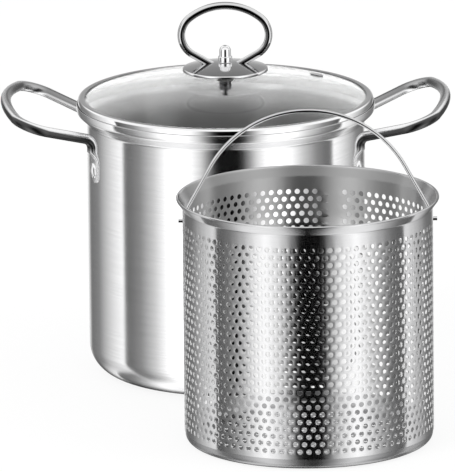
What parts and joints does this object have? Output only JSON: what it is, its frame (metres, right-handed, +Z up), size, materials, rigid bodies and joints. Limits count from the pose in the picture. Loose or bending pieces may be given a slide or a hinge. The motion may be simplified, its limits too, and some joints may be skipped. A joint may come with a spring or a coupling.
{
  "type": "deep fryer pot",
  "caption": "Tall steel pot with wire side handles and a domed glass lid with a wire loop knob, beside its perforated frying basket with a swinging wire bail.",
  "frame": {"origin": "centre of the pot's flat bottom, on the floor", "axes": "+Z up, X through the two side handles, the basket stands beside the pot towards -Y"},
  "size_m": [0.358, 0.4416, 0.3004],
  "materials": {
    "brushed_steel": "satin stainless sheet, brushed round the wall",
    "polished_steel": "mirror-polished stainless wire, rivets and trim",
    "glass": "clear tempered glass, slightly green at its edge",
    "silicone": "translucent grey silicone, matt"
  },
  "bodies": {
    "root": {"pot_body": "brushed_steel", "left_handle": "polished_steel", "right_handle": "polished_steel", "rivet_left_front": "polished_steel", "rivet_left_back": "polished_steel", "rivet_right_front": "polished_steel", "rivet_right_back": "polished_steel", "lid_glass": "glass", "lid_band": "polished_steel", "vent_eyelet": "polished_steel", "knob_screw": "polished_steel", "lower_washer": "polished_steel", "lower_gasket": "silicone", "upper_gasket": "silicone", "knob_spacer": "polished_steel", "knob_plate": "polished_steel", "knob_loop": "polished_steel", "cap_nut": "polished_steel", "basket_wall": "brushed_steel", "basket_base": "brushed_steel"},
    "bail": {"basket_bail": "polished_steel"}
  },
  "joints": [
    {"name": "bail_swing", "type": "hinge", "parent": "root", "child": "bail", "pos_m": [0.063, -0.218, 0.1755], "axis": [1, 0, 0], "continuous": true}
  ]
}
